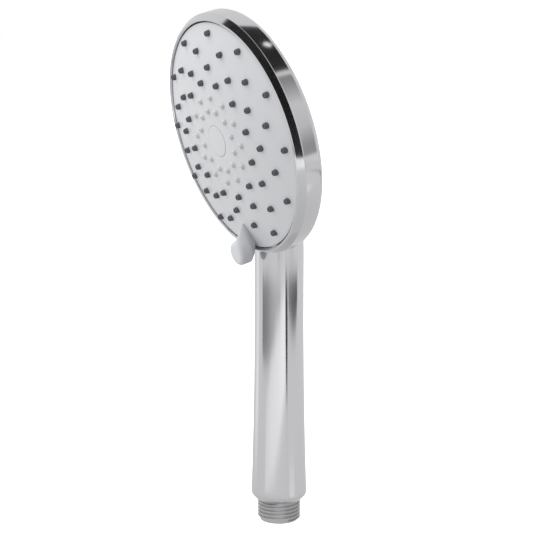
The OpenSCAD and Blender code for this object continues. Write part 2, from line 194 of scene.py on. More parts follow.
class ShowerStudio(bpy.types.PropertyGroup):
    azimuth: turn("Azimuth", "Direction of the camera, from -Y towards +X", 59.4)
    elevation: turn("Elevation", "Height of the camera above the horizon", 11.54)
    distance: length("Distance", "Distance of the camera from the point it aims at", 0.967)
    lens: FloatProperty(name="Lens", description="Focal length, in millimetres", default=132.4)
    aim: FloatVectorProperty(
        name="Aim",
        description="Where the camera aims, from the middle of the model's box",
        default=(-0.0239, 0.0070 - sum(CAD_BOX[i][1] for i in (0, 1)) / 2,
                 0.1164 - sum(CAD_BOX[i][2] for i in (0, 1)) / 2),
        subtype="XYZ",
    )
    tent: length("Tent", "Radius of the reflection tent", 0.4)
    floor_drop: length("Floor drop", "Distance from the inlet down to the floor", 0.28)


# ---------------------------------------------------------------- mesh helpers


def close_up(bm):
    """Merges doubled points and turns every face outwards."""
    bmesh.ops.remove_doubles(bm, verts=bm.verts[:], dist=0.0005 * MM)
    bmesh.ops.recalc_face_normals(bm, faces=bm.faces[:])


def spin_outline(bm, outline, steps=160):
    """Spins a closed outline of (radius, height) points about Z, and returns its new points."""
    known = set(bm.verts)
    points = [bm.verts.new((radius, 0, height)) for radius, height in outline]
    lines = [bm.edges.new(pair) for pair in zip(points, points[1:] + points[:1])]
    bmesh.ops.spin(
        bm,
        geom=points + lines,
        cent=(0, 0, 0),
        axis=(0, 0, 1),
        dvec=(0, 0, 0),
        angle=2 * math.pi,
        steps=steps,
        use_merge=True,
    )
    return [v for v in bm.verts if v not in known]


def round_edges(bm, edges, offset, segments=3):
    bmesh.ops.bevel(
        bm,
        geom=edges,
        offset=offset,
        offset_type="OFFSET",
        segments=segments,
        profile=0.5,
        affect="EDGES",
        clamp_overlap=True,
        material=-1,
    )


def sharp_edges(bm, degrees):
    limit = math.radians(degrees)
    return [e for e in bm.edges if e.is_manifold and e.calc_face_angle() > limit]


def loft(bm, rings, joined):
    """Draws a skin through rings of points, each ring extruded from the one before it.

    A joined skin bends back on itself, so that its last ring meets its first.
    """
    count = len(rings[0])
    ring = bmesh.ops.create_circle(bm, cap_ends=False, radius=1, segments=count)["verts"]
    first = ring
    for number, points in enumerate(rings):
        if number:
            edges = ring_edges(bm, ring)
            grown = bmesh.ops.extrude_edge_only(bm, edges=edges)["geom"]
            fresh = {g for g in grown if isinstance(g, bmesh.types.BMVert)}
            ring = [next(o for o in neighbours(v) if o in fresh) for v in ring]
        for vertex, point in zip(ring, points):
            vertex.co = point
    if joined:
        bmesh.ops.bridge_loops(bm, edges=ring_edges(bm, first) + ring_edges(bm, ring))
    return first, ring


def ring_edges(bm, ring):
    return [bm.edges.get(pair) for pair in zip(ring, ring[1:] + ring[:1])]


def neighbours(vertex):
    return [edge.other_vert(vertex) for edge in vertex.link_edges]


def mesh_piece(bm, name, material):
    """Turns a finished shape into a piece of the scene."""
    mesh = bpy.data.meshes.new(name)
    bm.to_mesh(mesh)
    bm.free()
    mesh.materials.append(material)
    piece = bpy.data.objects.new(name, mesh)
    bpy.context.scene.collection.objects.link(piece)
    return piece


def shade_smooth(mesh):
    mesh.polygons.foreach_set("use_smooth", [True] * len(mesh.polygons))


def finish_piece(bm, name, body, slot, replaces=(), sharp=32):
    """Makes a piece in its slot's finish, parents it to its body's empty, and hides the imported parts that it
    replaces.
    """
    piece = mesh_piece(bm, name, finish(slot))
    shade_smooth(piece.data)
    piece.data.set_sharp_from_angle(angle=math.radians(sharp))
    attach(piece, body)
    if replaces:
        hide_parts(*replaces)


# ---------------------------------------------------------------- materials


HANDLING_INPUTS = {
    "Colour": (0.8, 0.8, 0.8, 1), "Roughness": 0.1, "Smudge": 0.05, "Tint": 0.03, "Grain": 900.0,
}
# Colour setting, metallic, roughness, smudge, tint, grain and height of the relief in millimetres
FINISHES = {
    "chrome_plate": ("chrome", 1, 0.008, 0.02, 0.01, 500, 0.0),
    "nickel_thread": ("nickel", 0.85, 0.33, 0.2, 0.06, 2500, 0.006),
    "grey_plastic": ("face", 0, 0.24, 0.16, 0.02, 1600, 0.002),
    "grey_silicone": ("nozzle", 0, 0.42, 0.2, 0.12, 3000, 0.01),
    "pale_silicone": ("nub", 0, 0.38, 0.15, 0.03, 3000, 0.008),
    "white_plastic": ("white", 0, 0.4, 0.2, 0.04, 2200, 0.01),
    "green_plastic": ("green", 0, 0.38, 0.2, 0.05, 2200, 0.01),
    "orange_plastic": ("orange", 0, 0.36, 0.2, 0.05, 2200, 0.01),
    "black_rubber": ("rubber", 0, 0.5, 0.25, 0.1, 3500, 0.015),
    "steel": ("steel", 1, 0.22, 0.25, 0.05, 1800, 0.004),
}
FINISH_EXTRAS = {
    "grey_plastic": {"Coat Weight": 0.25, "Coat Roughness": 0.12},
    "pale_silicone": {"Subsurface Weight": 0.1, "Subsurface Scale": 1 * MM},
}


def add(tree, kind, **values):
    """Adds a node and sets its inputs by name."""
    node = tree.nodes.new(kind)
    for name, value in values.items():
        node.inputs[name.replace("_", " ")].default_value = value
    return node


def maths(tree, operation, a, b, clamp=False):
    node = tree.nodes.new("ShaderNodeMath")
    node.operation = operation
    node.use_clamp = clamp
    for socket, value in zip(node.inputs, (a, b)):
        if isinstance(value, (int, float)):
            socket.default_value = value
        else:
            tree.links.new(value, socket)
    return node.outputs[0]


def handling_group():
    """Smudges, water marks and hairline scratches: a roughness, a tint and a height."""
    tree = bpy.data.node_groups.new("Handling", "ShaderNodeTree")
    for name, default in HANDLING_INPUTS.items():
        kind = "NodeSocketFloat" if isinstance(default, float) else "NodeSocketColor"
        socket = tree.interface.new_socket(name=name, in_out="INPUT", socket_type=kind)
        socket.default_value = default
    for name in ("Colour", "Roughness", "Height"):
        kind = "NodeSocketColor" if name == "Colour" else "NodeSocketFloat"
        tree.interface.new_socket(name=name, in_out="OUTPUT", socket_type=kind)
    link = tree.links.new
    given = tree.nodes.new("NodeGroupInput")
    put = tree.nodes.new("NodeGroupOutput")
    place = tree.nodes.new("ShaderNodeTexCoord").outputs["Object"]
    smudge = add(tree, "ShaderNodeTexNoise", Scale=85.0, Detail=4.0, Roughness=0.55)
    grain = add(tree, "ShaderNodeTexNoise", Detail=2.0, Roughness=0.5)
    streak = add(tree, "ShaderNodeMapping", Scale=(2600.0, 2600.0, 60.0))
    hair = add(tree, "ShaderNodeTexNoise", Scale=1.0, Detail=2.0)
    link(place, smudge.inputs["Vector"])
    link(place, grain.inputs["Vector"])
    link(given.outputs["Grain"], grain.inputs["Scale"])
    link(place, streak.inputs["Vector"])
    link(streak.outputs[0], hair.inputs["Vector"])
    mark = maths(tree, "SUBTRACT", smudge.outputs["Fac"], 0.45, clamp=True)
    fine = maths(tree, "MULTIPLY", hair.outputs["Fac"], 0.35)
    both = maths(tree, "ADD", mark, fine)
    spread = maths(tree, "MULTIPLY", both, given.outputs["Smudge"])
    link(maths(tree, "ADD", spread, given.outputs["Roughness"]), put.inputs["Roughness"])
    shade = maths(tree, "MULTIPLY", maths(tree, "SUBTRACT", smudge.outputs["Fac"], 0.5),
                  given.outputs["Tint"])
    bright = maths(tree, "ADD", shade, 1.0)
    scale = tree.nodes.new("ShaderNodeVectorMath")
    scale.operation = "SCALE"
    link(given.outputs["Colour"], scale.inputs[0])
    link(bright, scale.inputs["Scale"])
    link(scale.outputs[0], put.inputs["Colour"])
    link(grain.outputs["Fac"], put.inputs["Height"])
    return tree


def finish(name):
    """A finish by its slot's name, made the first time that a piece asks for it.

    The handling group drives its colour, roughness and fine relief.
    """
    made = bpy.data.materials.get(name)
    if made:
        return made
    paint, metallic, roughness, smudge, tint, grain, bump = FINISHES[name]
    material = bpy.data.materials.new(name)
    material.use_nodes = True
    tree = material.node_tree
    shader = tree.nodes["Principled BSDF"]
    for socket, value in {"Metallic": metallic, **FINISH_EXTRAS.get(name, {})}.items():
        shader.inputs[socket].default_value = value
    wear = tree.nodes.new("ShaderNodeGroup")
    wear.node_tree = bpy.data.node_groups.get("Handling") or handling_group()
    tone = (*getattr(bpy.context.scene.shower_colours, paint), 1)
    for socket, value in zip(HANDLING_INPUTS, (tone, roughness, smudge, tint, grain)):
        wear.inputs[socket].default_value = value
    relief = add(tree, "ShaderNodeBump", Strength=1.0, Distance=bump * MM)
    tree.links.new(wear.outputs["Colour"], shader.inputs["Base Color"])
    tree.links.new(wear.outputs["Roughness"], shader.inputs["Roughness"])
    tree.links.new(wear.outputs["Height"], relief.inputs["Height"])
    tree.links.new(relief.outputs[0], shader.inputs["Normal"])
    return material


# ---------------------------------------------------------------- outlines


def dome_height(radius, inset=0.0):
    head = bpy.context.scene.shower_head
    reach = head.dome_radius - inset
    return head.dome_rise - head.dome_radius + math.sqrt(reach * reach - radius * radius)


def in_mm(points):
    return [(radius * MM, height * MM) for radius, height in points]


def ring_outline():
    """Half section of the trim ring: lip, chamfer, side and seat."""
    rim = RING_RADIUS / MM
    return in_mm(
        [
            (rim - 0.2, -11.1), (rim, -10.6), (rim, -3.3), (rim - 2, -0.4), (rim - 2.5, 0),
            (rim - 2.9, 0), (rim - 3.4, -0.7), (rim - 3.4, -9), (rim - 1.7, -9), (rim - 1.7, -11.1),
        ]
    )


def back_outline():
    """Back of the head from its middle out to the rim, a shallow dome that rolls into the rim."""
    deep = bpy.context.scene.shower_head.back_depth / MM
    ball = 176.0
    flat = [(r, -deep + ball - math.sqrt(ball * ball - r * r)) for r in range(0, 51, 2)]
    start = Vector((*flat[-1], 0))
    slope = Vector((1, flat[-1][0] / ball, 0))
    rim = Vector((RING_RADIUS / MM - 0.4, -11.2, 0))
    roll = [
        point_on(start, start + slope * 5.6, rim + Vector((0, -1.6, 0)), rim, step / 10)
        for step in range(1, 11)
    ]
    return in_mm(flat + [(p.x, p.y) for p in roll])


def point_on(a, b, c, d, t):
    """A point of a cubic curve."""
    s = 1 - t
    return a * s**3 + b * (3 * s * s * t) + c * (3 * s * t * t) + d * t**3


# ---------------------------------------------------------------- the body's surface


class BodySurface:
    """The chrome body as distances: to the handle, to the head, and to the two blended."""

    # Height above the inlet's end, centre and half width, in millimetres
    STATIONS = (
        (11, 0, 11.1), (13.5, 0, 13.5), (30, 0, 12.95), (45, 0, 12.55), (60, 0, 12.25),
        (80, 0, 11.95), (105, 0, 11.77), (125, 0, 11.78), (136, 0, 11.79), (150, -1.5, 11.6),
        (163, -4, 10.5), (175, -7, 8.5), (186, -10.5, 5),
    )

    def __init__(self):
        self.set = bpy.context.scene.shower_handle
        stations = np.array(self.STATIONS) * MM
        self.z = stations[:, 0] + INLET_END
        self.centre = stations[:, 1]
        self.half = stations[:, 2]
        outline = np.array(ring_outline()[1:5] + back_outline()[::-1])
        mirrored = outline[::-1] * (-1, 1)
        self.outline = np.vstack([outline, mirrored])
        self.to_face = np.array(TO_FACE)

    def smooth(self, values, z):
        """A smooth curve through the stations, straight in the lower chamfer."""
        rise = np.diff(values) / np.diff(self.z)
        slopes = np.concatenate([rise[:1], rise[1:], rise[-1:]])
        same = rise[1:-1] * rise[2:] > 0
        both = np.where(same, rise[1:-1] + rise[2:], 1)
        slopes[2:-1] = np.where(same, 2 * rise[1:-1] * rise[2:] / both, 0)
        i = np.clip(np.searchsorted(self.z, z) - 1, 0, len(self.z) - 2)
        step = self.z[i + 1] - self.z[i]
        t = np.clip((z - self.z[i]) / step, 0, 1)
        start = slopes[i]
        stop = np.where(i == 0, slopes[0], slopes[i + 1])
        a, b = values[i], values[i + 1]
        return (
            a * (2 * t**3 - 3 * t**2 + 1)
            + b * (3 * t**2 - 2 * t**3)
            + step * start * (t**3 - 2 * t**2 + t)
            + step * stop * (t**3 - t**2)
        )

    def crease(self, z):
        rise = np.clip((z - INLET_END) / (125 * MM), 0, 1)
        return self.set.crease_low - self.set.crease_swing * rise**2

    def reach(self, angle, z):
        """Distance of the handle's skin from its centre, at an angle from the front."""
        half = self.smooth(self.half, z)
        crease = self.crease(z)
        x = 1.045 * half * np.sin(crease)
        y = 1.045 * half * np.cos(crease)
        front = (x * x + (half - y) ** 2) / (2 * (half - y))
        back = (x * x + (half + y) ** 2) / (2 * (half + y))
        near = arc_reach(angle, front - half, front)
        far = arc_reach(angle, half - back, back)
        return soft_least(near, far, self.set.crease_soft)

    def skin(self, angle, z, inset=0.0):
        """Points of the handle's skin."""
        reach = self.reach(angle, z) - inset
        centre = self.smooth(self.centre, z)
        return np.stack([reach * np.sin(angle), centre - reach * np.cos(angle), z], axis=-1)

    def to_handle(self, p):
        y = p[..., 1] - self.smooth(self.centre, p[..., 2])
        angle = np.arctan2(np.abs(p[..., 0]), -y)
        return np.hypot(p[..., 0], y) - self.reach(angle, p[..., 2])

    def to_head(self, p):
        local = p @ self.to_face[:3, :3].T + self.to_face[:3, 3]
        flat = np.stack([np.hypot(local[..., 0], local[..., 1]), local[..., 2]], axis=-1)
        a = self.outline
        b = np.roll(a, -1, axis=0)
        along = b - a
        away = flat[..., None, :] - a
        t = np.clip((away * along).sum(-1) / (along**2).sum(-1), 0, 1)
        distance = np.linalg.norm(away - t[..., None] * along, axis=-1).min(-1)
        crosses = (a[:, 1] > flat[..., None, 1]) != (b[:, 1] > flat[..., None, 1])
        side = a[:, 0] + (flat[..., None, 1] - a[:, 1]) * along[:, 0] / (along[:, 1] + 1e-12)
        inside = (crosses & (flat[..., None, 0] < side)).sum(-1) % 2 == 1
        return np.where(inside, -distance, distance)

    def blend(self, p):
        """Reach of the blend between handle and head: short at the front, long at the back."""
        y = p[..., 1] - self.smooth(self.centre, p[..., 2])
        turned = np.arctan2(np.abs(p[..., 0]), -y) / math.radians(110)
        t = np.clip(turned, 0, 1)
        eased = t * t * (3 - 2 * t)
        return self.set.front_blend + (self.set.back_blend - self.set.front_blend) * eased

    def to_both(self, p):
        return soft_least(self.to_handle(p), self.to_head(p), self.blend(p))

    def slope(self, distance, p):
        """The direction in which a distance grows fastest."""
        step = 0.02 * MM
        moves = np.eye(3) * step
        return np.stack([distance(p + m) - distance(p - m) for m in moves], axis=-1) / (2 * step)

    def settle(self, distance, p, rounds):
        """Moves points onto the surface where a distance is nothing."""
        for _ in range(rounds):
            slope = self.slope(distance, p)
            size = (slope**2).sum(-1, keepdims=True) + 1e-9
            p = p - 0.9 * distance(p)[..., None] * slope / size
        return p


def arc_reach(angle, offset, radius):
    """Distance from the centre to an arc whose own centre is set back."""
    return -offset * np.cos(angle) + np.sqrt(radius**2 - (offset * np.sin(angle)) ** 2)


def soft_least(a, b, reach):
    """The lesser of two distances, with an eased corner."""
    over = np.maximum(reach - np.abs(a - b), 0) / reach
    return np.minimum(a, b) - over * over * reach / 4


def column_angles(crease):
    """Angles of the handle's columns: even on each arc, and close together at the creases."""
    near = np.radians((-8, -6.4, -4.8, -3.2, -1.6, 0, 1.6, 3.2, 4.8, 6.4, 8))
    margin = math.radians(10)
    front = np.linspace(0, crease - margin, 18)
    back = np.linspace(crease + margin, math.pi, 24)
    half = np.concatenate([front, crease + near, back])
    return np.concatenate([half, 2 * math.pi - half[-2:0:-1]])


def signed(angles):
    return np.where(angles > math.pi, angles - 2 * math.pi, angles)


def handle_rings(surface):
    """Rings of the hollow handle: up its skin, out over the head, and back down its bore."""
    wall = surface.set.wall

    def around(z, inset=0.0):
        """One ring whose height may differ from column to column."""
        z = np.asarray(z, float)
        angle = np.array([column_angles(c)[i] for i, c in enumerate(surface.crease(z))])
        angle = signed(angle)
        mirror = np.abs(angle)
        skin = surface.skin(mirror, z, inset)
        skin[:, 0] *= np.sign(np.sin(angle)) * np.sign(skin[:, 0] + 1e-12)
        return skin

    count = len(column_angles(1.3))
    level = np.ones(count)
    low = np.full(count, 125 * MM + INLET_END)
    high = np.full(count, 186 * MM + INLET_END)
    for _ in range(22):
        middle = (low + high) / 2
        inside = surface.to_head(around(middle)) < 0
        high = np.where(inside, middle, high)
        low = np.where(inside, low, middle)
    meet = low
    foot = CHAMFER_TOP
    rings = [around(level * (HANDLE_END + share * (foot - HANDLE_END))) for share in (0, 0.5, 1)]
    start = meet - 16 * MM
    rings += [around(foot + (start - foot) * share) for share in np.linspace(0, 1, 46)[1:]]
    blended = [around(start + (meet - start) * share) for share in np.linspace(0, 1, 15)[1:]]
    edge = blended[-1]
    reach = surface.blend(edge) * 1.15
    over = []
    for step in range(14):
        out = surface.slope(surface.to_handle, edge)
        normal = surface.slope(surface.to_head, edge)
        out = out - (out * normal).sum(-1, keepdims=True) * normal
        size = np.linalg.norm(out, axis=-1, keepdims=True)
        left = np.clip(reach - surface.to_handle(edge), 0, None)
        move = (left / (14 - step))[:, None] * out / np.maximum(size, 0.35) ** 2
        edge = surface.settle(surface.to_head, edge + move, 2)
        over.append(edge)
    rings += [surface.settle(surface.to_both, ring, 6) for ring in blended + over[:-1]]
    rings.append(over[-1])
    # Back down inside, to the shoulder above the inlet's bore and out at the bottom
    inner_top = around(meet - 1.5 * MM, wall)
    rings.append(inner_top)
    step_z = HANDLE_END + surface.set.bore_depth
    for share in np.linspace(0, 1, 16)[1:]:
        rings.append(around(inner_top[:, 2] * (1 - share) + step_z * share, wall))
    for z in (step_z, HANDLE_END):
        ring = around(level * z)
        centre = np.array((0, 0, z))
        flat = ring - centre
        flat[:, 2] = 0
        rings.append(centre + flat / np.linalg.norm(flat, axis=1, keepdims=True) * surface.set.bore)
    return rings


def lever_rings(lever):
    """Rings of the lever, each the outline of a drop, from inside the face up to the crest."""
    shoulder = lever.height - lever.edge_round
    heights = [-0.5 * MM + (shoulder + 0.5 * MM) * i / 16 for i in range(17)]
    for degrees in (15, 30, 45, 60, 72, 82, 90):
        heights.append(shoulder + lever.edge_round * math.sin(math.radians(degrees)))
    rings = []
    for z in heights:
        grown = min(1.0, max(0.0, z / lever.spread))
        top = max(0.0, (z - shoulder) / lever.edge_round)
        inset = lever.edge_round * (1 - math.sqrt(max(0.0, 1 - top * top)))
        radius = lever.foot + (lever.radius - lever.foot) * grown - inset
        up = max(0.0, (z - 3 * MM) / (lever.height - 3 * MM))
        start = lever.start + (lever.crest_start - lever.start) * up
        end = lever.foot_end + (lever.end - lever.foot_end) * grown**0.6 - inset
        rings.append(drop(72, start, end, radius, z))
    return rings


def drop(count, start, end, radius, z):
    """A drop in the face's frame: a point at start and a round end at end, down the face."""
    centre = end - radius
    reach = max(centre - start, radius * 1.02)
    lean = math.acos(radius / reach)
    points = []
    arc = 2 * (math.pi - lean)
    side = reach * math.sin(lean)
    whole = arc * radius + 2 * side
    for i in range(count):
        run = whole * i / count
        if run < side:
            t = run / side
            touch = Vector((radius * math.sin(lean), radius * math.cos(lean)))
            p = Vector((0, reach)).lerp(touch, t)
        elif run < side + arc * radius:
            a = lean + (run - side) / radius
            p = Vector((radius * math.sin(a), radius * math.cos(a)))
        else:
            t = (run - side - arc * radius) / side
            touch = Vector((-radius * math.sin(lean), radius * math.cos(lean)))
            p = touch.lerp(Vector((0, reach)), t)
        points.append(Vector((p.x, p.y - centre, z)))
    return points


# ---------------------------------------------------------------- pieces


class PieceOperator:
    bl_options = {"REGISTER", "UNDO"}


class SHOWER_OT_body(PieceOperator, bpy.types.Operator):
    """Chrome body: the hollow creased handle, its neck and the shell behind the head"""

    bl_idname = "shower.body"
    bl_label = "Chrome Body"

    def execute(self, context):
        surface = BodySurface()
        bm = bmesh.new()
        rings = handle_rings(surface)
        loft(bm, rings, joined=True)
        close_up(bm)
        corner = [
            e for e in bm.edges
            if all(abs(v.co.z - CHAMFER_TOP) < 0.001 * MM for v in e.verts)
        ]
        round_edges(bm, corner, surface.set.end_round, 4)
        back = back_outline()
        wall = surface.set.wall
        # The inner side keeps the wall's thickness where the back rolls into the rim
        inner = [(r - 0.9 * wall if r > 40 * MM else r, z + 0.95 * wall) for r, z in back]
        seat = RING_RADIUS - 1.9 * MM
        rim = [(seat, back[-1][1])]
        shell = bmesh.new()
        spin_outline(shell, back + rim + inner[-4::-1], steps=160)
        close_up(shell)
        bmesh.ops.transform(shell, matrix=IN_FACE, verts=shell.verts)
        add_shape(bm, shell)
        finish_piece(bm, "chrome_body", "body", "chrome_plate", ["body_shell"], sharp=24)
        return {"FINISHED"}


def add_shape(bm, other):
    """Adds another shape to this one."""
    mesh = bpy.data.meshes.new("joined")
    other.to_mesh(mesh)
    other.free()
    bm.from_mesh(mesh)
    bpy.data.meshes.remove(mesh)


class SHOWER_OT_ring(PieceOperator, bpy.types.Operator):
    """Chrome trim ring round the spray face"""

    bl_idname = "shower.ring"
    bl_label = "Trim Ring"

    def execute(self, context):
        bm = bmesh.new()
        spin_outline(bm, ring_outline(), steps=192)
        close_up(bm)
        round_edges(bm, sharp_edges(bm, 15), context.scene.shower_head.edge_round)
        bmesh.ops.transform(bm, matrix=IN_FACE, verts=bm.verts)
        finish_piece(bm, "trim_ring_bright", "body", "chrome_plate", ["trim_ring"])
        return {"FINISHED"}


class SHOWER_OT_face(PieceOperator, bpy.types.Operator):
    """Domed face plate with its lever"""

    bl_idname = "shower.face"
    bl_label = "Face Plate"

    def execute(self, context):
        head = context.scene.shower_head
        bm = bmesh.new()
        edge = PLATE_RADIUS
        thick = head.plate_thickness
        cap_seat = CAP_RADIUS + 0.08 * MM
        outer = [cap_seat + (edge - cap_seat) * i / 30 for i in range(31)]
        inner = [r for r in outer if r < edge - 2 * MM]
        outline = [(r, dome_height(r)) for r in outer]
        outline += [(edge, -head.skirt), (edge - 1.8 * MM, -head.skirt)]
        outline += [(r, dome_height(r, thick)) for r in reversed(inner)]
        spin_outline(bm, outline, steps=160)
        close_up(bm)
        round_edges(bm, sharp_edges(bm, 30), 0.25 * MM)
        bmesh.ops.transform(bm, matrix=IN_FACE, verts=bm.verts)
        finish_piece(bm, "face_plate_domed", "selector", "grey_plastic", ["face_plate"])
        lever = bmesh.new()
        first, last = loft(lever, lever_rings(context.scene.shower_lever), joined=False)
        bmesh.ops.contextual_create(lever, geom=ring_edges(lever, first))
        bmesh.ops.contextual_create(lever, geom=ring_edges(lever, last))
        close_up(lever)
        for _ in range(3):
            bmesh.ops.smooth_vert(
                lever, verts=lever.verts, factor=0.4, use_axis_x=True, use_axis_y=True,
                use_axis_z=True,
            )
        bmesh.ops.transform(lever, matrix=IN_FACE, verts=lever.verts)
        finish_piece(lever, "spray_lever", "selector", "grey_plastic",
                     sharp=60)
        return {"FINISHED"}


def nozzle_outline(base, tip, height, sink, bore):
    """Half section of one nozzle: a tapered stem, an eased tip and a sunk outlet."""
    ease = 0.16 * tip
    return [
        (0, -sink), (base, -sink), (base, 0), (base - 0.25 * (base - tip), height * 0.3),
        (tip, height - ease), (tip - ease, height), (bore + 0.1 * MM, height),
        (bore, height - 0.12 * MM), (bore * 0.8, height - 0.5 * MM), (0, height - 0.55 * MM),
    ]


def nozzles(rings, outline, spokes, steps, left_out=()):
    """Nozzles in rings, each other ring turned by half a step."""
    bm = bmesh.new()
    for number, (radius, turned) in enumerate(rings):
        for spoke in range(spokes):
            if (number, spoke) in left_out:
                continue
            angle = 2 * math.pi * (spoke + (0.5 if turned else 0)) / spokes
            place = Matrix.Rotation(angle, 4, "Z") @ Matrix.Translation(
                (radius, 0, dome_height(radius))
            )
            made = spin_outline(bm, outline, steps)
            bmesh.ops.transform(bm, matrix=place, verts=made)
    return bm


def add_mat(bm, inner, outer, inset, thick):
    """The sheet that joins the nozzles behind the plate."""
    radii = [inner + (outer - inner) * i / 12 for i in range(13)]
    front = [(r, dome_height(r, inset)) for r in radii]
    back = [(r, dome_height(r, inset + thick)) for r in reversed(radii)]
    spin_outline(bm, front + back, steps=96)


class SHOWER_OT_nozzles(PieceOperator, bpy.types.Operator):
    """Dark silicone nozzles on their mat, in four rings"""

    bl_idname = "shower.nozzles"
    bl_label = "Dark Nozzles"

    def execute(self, context):
        head = context.scene.shower_head
        outline = nozzle_outline(
            head.nozzle_base, head.nozzle_tip, head.nozzle_height, 3 * MM, 0.55 * MM
        )
        radii = [(27.9 * MM, True), (34.9 * MM, False), (42.7 * MM, True), (50.1 * MM, False)]
        # The lever stands where the outer ring's lowest nozzle would be
        bm = nozzles(radii, outline, head.spokes, 20, left_out=[(3, 9)])
        add_mat(bm, 25.2 * MM, 52 * MM, head.plate_thickness + 0.1 * MM, 1.2 * MM)
        close_up(bm)
        bmesh.ops.transform(bm, matrix=IN_FACE, verts=bm.verts)
        finish_piece(bm, "dark_nozzles", "selector", "grey_silicone", ["nozzle_mat"], sharp=40)
        return {"FINISHED"}


class SHOWER_OT_nubs(PieceOperator, bpy.types.Operator):
    """Pale silicone nozzles on their mat, in two rings round the centre cap"""

    bl_idname = "shower.nubs"
    bl_label = "Pale Nozzles"

    def execute(self, context):
        head = context.scene.shower_head
        outline = nozzle_outline(head.nub_base, head.nub_tip, head.nub_height, 3 * MM, 0.4 * MM)
        bm = nozzles([(14.6 * MM, True), (20.6 * MM, False)], outline, head.spokes, 20)
        add_mat(bm, 11.2 * MM, 22.6 * MM, head.plate_thickness + 0.1 * MM, 1.2 * MM)
        close_up(bm)
        bmesh.ops.transform(bm, matrix=IN_FACE, verts=bm.verts)
        finish_piece(bm, "pale_nozzles", "selector", "pale_silicone", ["centre_mat"], sharp=40)
        return {"FINISHED"}


class SHOWER_OT_cap(PieceOperator, bpy.types.Operator):
    """Cap in the middle of the face"""

    bl_idname = "shower.cap"
    bl_label = "Centre Cap"

    def execute(self, context):
        head = context.scene.shower_head
        edge = CAP_RADIUS
        radii = [edge * i / 12 for i in range(13)]
        outline = [(r, dome_height(r) + head.cap_rise) for r in radii]
        outline += [(edge, 6 * MM), (0, 6 * MM)]
        bm = bmesh.new()
        spin_outline(bm, outline, steps=96)
        close_up(bm)
        round_edges(bm, sharp_edges(bm, 30), 0.22 * MM)
        tube = bmesh.new()
        spin_outline(tube, in_mm([(3.7, 0), (4.7, 0), (4.7, 6.1), (3.7, 6.1)]), steps=64)
        close_up(tube)
        add_shape(bm, tube)
        bmesh.ops.transform(bm, matrix=IN_FACE, verts=bm.verts)
        finish_piece(bm, "centre_cap_domed", "selector", "grey_plastic", ["centre_cap"])
        return {"FINISHED"}


class SHOWER_OT_inlet(PieceOperator, bpy.types.Operator):
    """Hose inlet with its helical thread"""

    bl_idname = "shower.inlet"
    bl_label = "Inlet"

    def execute(self, context):
        inlet = context.scene.shower_inlet
        root = THREAD_RADIUS - inlet.depth
        top = NIPPLE_TOP - INLET_END
        rise = HANDLE_END - INLET_END
        outline = [
            (inlet.bore, 0), (root - 0.2 * MM, 0), (root, 0.3 * MM), (root, rise - 1.4 * MM),
            (inlet.neck, rise - 1.2 * MM), (inlet.neck, rise), (inlet.body, rise),
            (inlet.body, top), (5.6 * MM, top), (5.6 * MM, 14.5 * MM), (4 * MM, 14.5 * MM),
            (4 * MM, 9.8 * MM), (6.9 * MM, 9.8 * MM), (6.9 * MM, 6.5 * MM),
            (inlet.bore, 6.5 * MM),
        ]
        bm = bmesh.new()
        spin_outline(bm, outline, steps=128)
        close_up(bm)
        round_edges(bm, sharp_edges(bm, 25), 0.12 * MM, 2)
        thread = thread_ridge(inlet, root)
        add_shape(bm, thread)
        bmesh.ops.translate(bm, verts=bm.verts, vec=(0, 0, INLET_END))
        finish_piece(bm, "threaded_inlet", "body", "nickel_thread", ["inlet_nipple"])
        return {"FINISHED"}


def thread_ridge(inlet, root):
    """One rib wound round the inlet, that grows out of it and dies away again."""
    bm = bmesh.new()
    foot = 0.62 * inlet.pitch
    outline = [
        (root - 0.4 * MM, -foot / 2), (THREAD_RADIUS, -inlet.crest / 2),
        (THREAD_RADIUS, inlet.crest / 2), (root - 0.4 * MM, foot / 2),
    ]
    first = 1.1 * MM
    turns = 4.9
    steps = int(turns * 72)
    points = [bm.verts.new((r, 0, first + z)) for r, z in outline]
    start = [bm.edges.new(pair) for pair in zip(points, points[1:] + points[:1])]
    bmesh.ops.contextual_create(bm, geom=start)
    bmesh.ops.spin(
        bm, geom=bm.verts[:] + bm.edges[:], cent=(0, 0, 0), axis=(0, 0, 1),
        dvec=(0, 0, inlet.pitch * turns / steps), angle=2 * math.pi * turns, steps=steps,
        use_merge=False,
    )
    bmesh.ops.holes_fill(bm, edges=[e for e in bm.edges if e.is_boundary], sides=8)
    close_up(bm)
    flat_way = Vector((math.cos(math.radians(-30)), math.sin(math.radians(-30)), 0))
    for vertex in bm.verts:
        run = (vertex.co.z - first) / inlet.pitch
        grow = min(1.0, max(0.0, (run + 0.35) / 0.4), max(0.0, (turns + 0.3 - run) / 0.4))
        out = Vector((vertex.co.x, vertex.co.y, 0))
        reach = root - 0.4 * MM + (out.length - root + 0.4 * MM) * grow
        out = out.normalized() * reach
        across = out.dot(flat_way)
        if abs(across) > inlet.flat:
            out -= flat_way * (across - math.copysign(inlet.flat, across))
        vertex.co = Vector((out.x, out.y, vertex.co.z))
    return bm


class SHOWER_OT_inside(PieceOperator, bpy.types.Operator):
    """Finishes of the valve pieces, seals, screws and springs inside"""

    bl_idname = "shower.inside"
    bl_label = "Inner Pieces"

    def execute(self, context):
        slots = {p["node"]: p["material_slot"] for p in frame["record"]["subparts"]}
        for name, node in frame["nodes"].items():
            node.data.materials.clear()
            node.data.materials.append(finish(slots[name]))
        return {"FINISHED"}


# ---------------------------------------------------------------- stage


